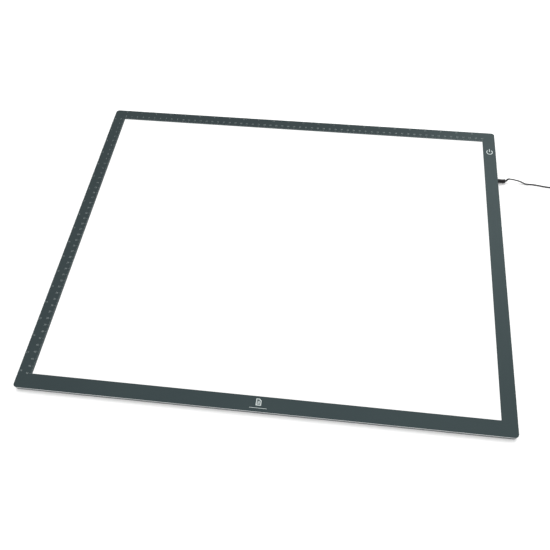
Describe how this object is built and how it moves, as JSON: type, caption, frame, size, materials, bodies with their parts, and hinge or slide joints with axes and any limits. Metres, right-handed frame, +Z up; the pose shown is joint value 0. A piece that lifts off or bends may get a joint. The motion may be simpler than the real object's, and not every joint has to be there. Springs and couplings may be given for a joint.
{
  "type": "light box",
  "caption": "Thin rectangular LED light pad with a dark ruled border, a bright drawing window, a touch power key and a low-voltage power lead that plugs into its side.",
  "frame": {"origin": "on the table, under the centre of the pad", "axes": "+X along the long side towards the power jack, +Y towards the rear border that carries a ruler, +Z up out of the drawing window"},
  "size_m": [0.7746, 0.5, 0.027],
  "materials": {
    "adapter_plastic": "fine grain",
    "black_tape": "matt",
    "board_laminate": "solder mask",
    "border_print": "satin",
    "capacitor_body": "satin",
    "capacitor_can": "sleeved",
    "chip_black": "matt",
    "contact_brass": "plain",
    "cord_cover": "satin",
    "cover_sheet": "fine grain",
    "diffuser_film": "matt",
    "ferrite": "matt",
    "foot_rubber": "matt",
    "frame_plastic": "fine satin",
    "guide_acrylic": "polished",
    "jack_plastic": "satin",
    "led_package": "plain",
    "opal_panel": "satin opal",
    "plug_nickel": "polished",
    "plug_plastic": "satin",
    "reflector_film": "satin",
    "screw_steel": "plain",
    "socket_plastic": "satin",
    "stop_silicone": "matt",
    "strip_aluminium": "plain",
    "strip_board": "solder mask",
    "tie_strap": "woven",
    "touch_foam": "foam",
    "transformer_core": "matt",
    "wire_cover": "satin"
  },
  "bodies": {
    "pad": {"back_cover": "cover_sheet", "back_cover_screws": "screw_steel", "board_capacitors": "capacitor_body", "border_film": "border_print", "control_board": "board_laminate", "diffuser_sheet": "diffuser_film", "driver_chip": "chip_black", "driver_coil": "ferrite", "foot_front_left": "foot_rubber", "foot_front_middle": "foot_rubber", "foot_front_right": "foot_rubber", "foot_rear_left": "foot_rubber", "foot_rear_middle": "foot_rubber", "foot_rear_right": "foot_rubber", "guide_stop_front_left": "stop_silicone", "guide_stop_front_right": "stop_silicone", "guide_stop_rear_left": "stop_silicone", "guide_stop_rear_right": "stop_silicone", "jack_centre_pin": "contact_brass", "jack_housing": "jack_plastic", "jack_sleeve_spring": "contact_brass", "led_bar_front": "strip_aluminium", "led_bar_rear": "strip_aluminium", "led_strip_front": "strip_board", "led_strip_rear": "strip_board", "led_wires_front": "wire_cover", "led_wires_rear": "wire_cover", "leds_front": "led_package", "leds_rear": "led_package", "light_guide": "guide_acrylic", "mid_frame": "frame_plastic", "panel_tape": "black_tape", "reflector_sheet": "reflector_film", "side_reflector_left": "reflector_film", "side_reflector_right": "reflector_film", "top_panel": "opal_panel", "touch_chip": "chip_black", "touch_pillar": "touch_foam", "wire_socket_front": "socket_plastic", "wire_socket_rear": "socket_plastic"},
    "lead": {"plug_strain_relief": "cord_cover", "cord_run": "cord_cover", "cord_coil": "cord_cover", "cord_tail": "cord_cover", "coil_tie": "tie_strap", "adapter_strain_relief": "cord_cover", "adapter_case_lower": "adapter_plastic", "adapter_case_upper": "adapter_plastic", "mains_pin_left": "plug_nickel", "mains_pin_right": "plug_nickel", "adapter_board": "board_laminate", "adapter_transformer": "transformer_core", "adapter_capacitor": "capacitor_can"},
    "plug": {"plug_grip": "plug_plastic", "plug_sleeve": "plug_nickel", "plug_insulator": "plug_plastic", "plug_inner_contact": "contact_brass"}
  },
  "joints": [
    {"name": "plug_pull", "type": "slide", "parent": "pad", "child": "lead", "axis": [1, 0, 0], "range_m": [0, 0.014]},
    {"name": "plug_turn", "type": "hinge", "parent": "lead", "child": "plug", "pos_m": [0.3204, 0.154, 0.0044], "axis": [1, 0, 0], "range_deg": [-180, 180]}
  ]
}
